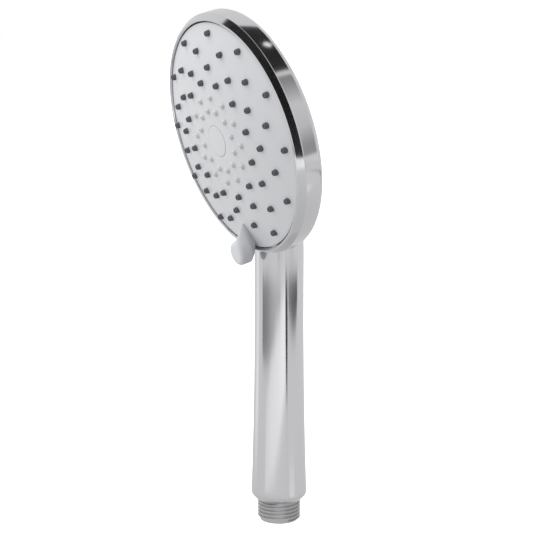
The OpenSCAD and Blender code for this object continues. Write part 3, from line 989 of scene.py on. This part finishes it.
def card_finish():
    """Light or dark card: it glows by its own shade, and fades out at its edges."""
    made = bpy.data.materials.get("studio_card")
    if made:
        return made
    material = bpy.data.materials.new("studio_card")
    material.use_nodes = True
    tree = material.node_tree
    tree.nodes.clear()
    shade = tree.nodes.new("ShaderNodeAttribute")
    shade.attribute_name = "shade"
    cover = tree.nodes.new("ShaderNodeAttribute")
    cover.attribute_name = "cover"
    clear = tree.nodes.new("ShaderNodeBsdfTransparent")
    glow = tree.nodes.new("ShaderNodeEmission")
    mix = tree.nodes.new("ShaderNodeMixShader")
    out = tree.nodes.new("ShaderNodeOutputMaterial")
    tree.links.new(shade.outputs["Fac"], glow.inputs["Strength"])
    tree.links.new(cover.outputs["Fac"], mix.inputs["Fac"])
    tree.links.new(clear.outputs[0], mix.inputs[1])
    tree.links.new(glow.outputs[0], mix.inputs[2])
    tree.links.new(mix.outputs[0], out.inputs["Surface"])
    return material


def brightness(grey):
    """Light that a chrome piece shows as this grey, from 0 for black to 1 for white."""
    linear = grey / 12.92 if grey <= 0.04045 else ((grey + 0.055) / 1.055) ** 2.4
    return linear / 0.9


def only_reflected(piece):
    """Seen in reflections, and neither by the camera nor by soft light."""
    for way in ("camera", "diffuse", "shadow", "transmission", "volume_scatter"):
        setattr(piece, f"visible_{way}", False)


def tent_point(studio, azimuth, elevation, nearer=0.0):
    a = math.radians(azimuth)
    e = math.radians(elevation)
    radius = studio.tent * (1 - nearer)
    return TENT_CENTRE + radius * direction(a, e)


def card(name, path, half_width, greys, soft=0.25, nearer=0.02, ends=1.5):
    """A strip of card on the tent: a path of (azimuth, elevation) degrees, and its half width."""
    studio = bpy.context.scene.shower_studio
    points = [tent_point(studio, a, e, nearer) for a, e in path]
    run = [0.0]
    for a, b in zip(points, points[1:]):
        run.append(run[-1] + (b - a).length)
    fade = math.radians(ends) * studio.tent
    steps = max(8, int(run[-1] / (8 * MM)))
    places = [0, fade] + [fade + (run[-1] - 2 * fade) * i / steps for i in range(1, steps + 1)]
    places.append(run[-1])
    across = (-1, -1 + soft, 0, 1 - soft, 1)
    reach = 10 * MM
    bm = bmesh.new()
    shade = bm.verts.layers.float.new("shade")
    cover = bm.verts.layers.float.new("cover")
    bmesh.ops.create_grid(bm, x_segments=len(places) - 1, y_segments=len(across) - 1, size=1)
    order = sorted(bm.verts, key=lambda v: (round(v.co.x, 5), round(v.co.y, 5)))
    widths = half_width if isinstance(half_width, (list, tuple)) else [half_width] * len(path)
    for i, place in enumerate(places):
        out = (along(points, run, place) - TENT_CENTRE).normalized()
        ahead = along(points, run, min(place + reach, run[-1]))
        behind = along(points, run, max(place - reach, 0))
        side = out.cross(ahead - behind).normalized()
        wide = math.tan(math.radians(float(np.interp(place, run, widths))))
        grey = float(np.interp(place, run, greys))
        for k, across_at in enumerate(across):
            vertex = order[i * len(across) + k]
            way = (out + side * wide * across_at).normalized()
            vertex.co = TENT_CENTRE + way * studio.tent * (1 - nearer)
            vertex[shade] = brightness(grey)
            edge = i in (0, len(places) - 1) or k in (0, len(across) - 1)
            vertex[cover] = 0.0 if edge else 1.0
    only_reflected(mesh_piece(bm, name, card_finish()))


def along(points, run, place):
    """The point at a distance along a path."""
    return Vector([np.interp(place, run, [p[k] for p in points]) for k in range(3)])


def tent(studio):
    """Pale tent round the object, a little darker towards the ground."""
    bm = bmesh.new()
    shade = bm.verts.layers.float.new("shade")
    cover = bm.verts.layers.float.new("cover")
    bmesh.ops.create_uvsphere(bm, u_segments=72, v_segments=48, radius=studio.tent)
    for vertex in bm.verts:
        height = vertex.co.z / studio.tent
        grey = float(np.interp(height, (-1, -0.4, 0, 0.5, 1), (0.72, 0.79, 0.82, 0.82, 0.80)))
        vertex[shade] = brightness(grey)
        vertex[cover] = 1.0
    bmesh.ops.translate(bm, verts=bm.verts, vec=TENT_CENTRE)
    piece = mesh_piece(bm, "studio_tent", card_finish())
    shade_smooth(piece.data)
    only_reflected(piece)


def cards():
    """Dark and bright cards hung in the tent, which give the chrome its contrast."""
    card("card_arch", [(-40, 63.5), (-23, 65), (1, 64), (21, 59), (34, 52), (43, 42), (49, 30),
                       (54, 16), (57, 0), (58, -6)], 10.5,
         [0.16, 0.10, 0.09, 0.09, 0.04, 0.04, 0.05, 0.11, 0.13, 0.12], soft=0.08, nearer=0.425,
         ends=0.8)
    card("card_blocker", [(104, -3), (132, -3)], 4.5, [0.78, 0.78], soft=0.2, nearer=0.43)
    card("card_zenith", [(-132, 74), (-140, 82), (120, 84), (110, 70), (108, 60)], 11,
         [0.2, 0.12, 0.10, 0.10, 0.13], soft=0.1)
    card("card_spark", [(150, 80), (122, 80)], 2.2, [1.0, 1.0], soft=0.3, nearer=0.04)
    card("card_band", [(108, 58), (107, 50), (107, 37), (110, 20), (114, 6), (116, -3)], 9,
         [0.46, 0.58, 0.78, 0.74, 0.56, 0.56], soft=0.15)
    card("card_horizon_left", [(-27, -14.4), (0, -14.6), (20, -14.4), (40, -13.6), (60, -13)],
         [3.7, 3.9, 3.2, 2.0, 1.3], [0.46, 0.53, 0.62, 0.66, 0.67], soft=0.1, nearer=0.03, ends=0.6)
    card("card_window", [(-6, -25), (20, -22.5), (45, -20), (62, -18.5), (84, -15)],
         [5, 6, 6.5, 5.5, 4.5], [0.84, 0.9, 0.92, 0.95, 0.98], soft=0.3)
    card("card_crease", [(89, -10.9), (89, -17), (90, -21)], [7.5, 6.5, 1.5], [0.03, 0.03, 0.05],
         soft=0.1, nearer=0.04, ends=0.3)
    card("card_horizon_right", [(101, -12.7), (112, -12.9), (126, -13.3), (142, -13.2), (153, -12.4)],
         [1.8, 2.1, 2.5, 2.4, 1.6], [0.42, 0.40, 0.32, 0.27, 0.27], soft=0.12, nearer=0.03, ends=0.6)
    card("card_low_right", [(100, -30), (130, -30)], 5, [0.86, 0.84], soft=0.4)
    card("card_lip", [(-75, -12), (-50, -12)], 18, [0.88, 0.9], soft=0.4)


def floor(studio):
    bm = bmesh.new()
    bmesh.ops.create_circle(bm, cap_ends=True, radius=6, segments=96)
    bmesh.ops.translate(bm, verts=bm.verts, vec=(0, 0, INLET_END - studio.floor_drop))
    material = bpy.data.materials.new("studio_floor")
    material.use_nodes = True
    shader = material.node_tree.nodes["Principled BSDF"]
    shader.inputs["Base Color"].default_value = (0.97, 0.97, 0.97, 1)
    shader.inputs["Roughness"].default_value = 0.9
    shader.inputs["Emission Color"].default_value = (1, 1, 1, 1)
    shader.inputs["Emission Strength"].default_value = 0.6
    piece = mesh_piece(bm, "studio_floor", material)
    piece.visible_glossy = False
    piece.visible_diffuse = False


def surroundings():
    """White to the camera, and lighter from the front left than from behind for soft light."""
    world = bpy.data.worlds.new("surroundings")
    world.use_nodes = True
    tree = world.node_tree
    background = tree.nodes["Background"]
    background.inputs["Color"].default_value = (1, 1, 1, 1)
    way = tree.nodes.new("ShaderNodeTexCoord").outputs["Generated"]
    towards = tree.nodes.new("ShaderNodeVectorMath")
    towards.operation = "DOT_PRODUCT"
    tree.links.new(way, towards.inputs[0])
    towards.inputs[1].default_value = direction(math.radians(-75), math.radians(30))
    soft = maths(tree, "ADD", maths(tree, "MULTIPLY", towards.outputs["Value"], 0.62), 1.0)
    seen = tree.nodes.new("ShaderNodeLightPath").outputs["Is Camera Ray"]
    mix = tree.nodes.new("ShaderNodeMix")
    tree.links.new(seen, mix.inputs["Factor"])
    tree.links.new(soft, mix.inputs["A"])
    mix.inputs["B"].default_value = 1.0
    tree.links.new(mix.outputs["Result"], background.inputs["Strength"])
    bpy.context.scene.world = world


def lamp(name, azimuth, elevation, distance, size, power):
    """Soft lamp that points at the head."""
    data = bpy.data.lights.new(name, "AREA")
    data.shape = "DISK"
    data.size = size
    data.energy = power
    piece = bpy.data.objects.new(name, data)
    bpy.context.scene.collection.objects.link(piece)
    way = direction(math.radians(azimuth), math.radians(elevation))
    piece.location = FACE_CENTRE + way * distance
    piece.rotation_euler = (-way).to_track_quat("-Z", "Y").to_euler()
    piece.visible_glossy = False
    piece.visible_camera = False


def direction(azimuth, elevation):
    return Vector((
        math.sin(azimuth) * math.cos(elevation),
        -math.cos(azimuth) * math.cos(elevation),
        math.sin(elevation),
    ))


def camera(studio):
    data = bpy.data.cameras.new("camera")
    data.lens = studio.lens
    data.sensor_width = 36
    data.clip_start = 0.01
    piece = bpy.data.objects.new("camera", data)
    bpy.context.scene.collection.objects.link(piece)
    middle = Vector([(low + high) / 2 for low, high in zip(*CAD_BOX)])
    way = direction(studio.azimuth, studio.elevation)
    piece.location = middle + Vector(studio.aim) + way * studio.distance
    piece.rotation_euler = (-way).to_track_quat("-Z", "Y").to_euler()
    bpy.context.scene.camera = piece


class SHOWER_OT_stage(PieceOperator, bpy.types.Operator):
    """Floor, white surroundings, reflection tent, lamps and camera"""

    bl_idname = "shower.stage"
    bl_label = "Stage"

    def execute(self, context):
        studio = context.scene.shower_studio
        context.scene.view_settings.view_transform = "Standard"
        surroundings()
        floor(studio)
        tent(studio)
        cards()
        lamp("key_lamp", -60, 50, 1.2, 0.7, 4.0)
        camera(studio)
        return {"FINISHED"}


class SHOWER_PT_panel(bpy.types.Panel):
    """Lists the shower head's pieces"""

    bl_idname = "SHOWER_PT_panel"
    bl_label = "Shower Head"
    bl_space_type = "VIEW_3D"
    bl_region_type = "UI"
    bl_category = "Shower Head"

    def draw(self, context):
        for operator in OPERATORS:
            self.layout.operator(operator.bl_idname)
        for name in SETTINGS:
            box = self.layout.box()
            settings = getattr(context.scene, name)
            for prop in settings.bl_rna.properties:
                if prop.identifier not in {"name", "rna_type"}:
                    box.prop(settings, prop.identifier)


SETTINGS = {
    "shower_handle": ShowerHandle,
    "shower_head": ShowerHead,
    "shower_lever": ShowerLever,
    "shower_inlet": ShowerInlet,
    "shower_colours": ShowerColours,
    "shower_studio": ShowerStudio,
}
OPERATORS = (
    SHOWER_OT_body,
    SHOWER_OT_ring,
    SHOWER_OT_face,
    SHOWER_OT_nozzles,
    SHOWER_OT_nubs,
    SHOWER_OT_cap,
    SHOWER_OT_inlet,
    SHOWER_OT_inside,
    SHOWER_OT_stage,
)


def register():
    for name, settings in SETTINGS.items():
        bpy.utils.register_class(settings)
        setattr(bpy.types.Scene, name, PointerProperty(type=settings))
    for operator in OPERATORS:
        bpy.utils.register_class(operator)
    bpy.utils.register_class(SHOWER_PT_panel)


def unregister():
    bpy.utils.unregister_class(SHOWER_PT_panel)
    for operator in reversed(OPERATORS):
        bpy.utils.unregister_class(operator)
    for name, settings in SETTINGS.items():
        delattr(bpy.types.Scene, name)
        bpy.utils.unregister_class(settings)


def main():
    register()
    bpy.ops.shower.body()
    bpy.ops.shower.ring()
    bpy.ops.shower.face()
    bpy.ops.shower.nozzles()
    bpy.ops.shower.nubs()
    bpy.ops.shower.cap()
    bpy.ops.shower.inlet()
    bpy.ops.shower.inside()
    bpy.ops.shower.stage()


if __name__ == "__main__":
    main()
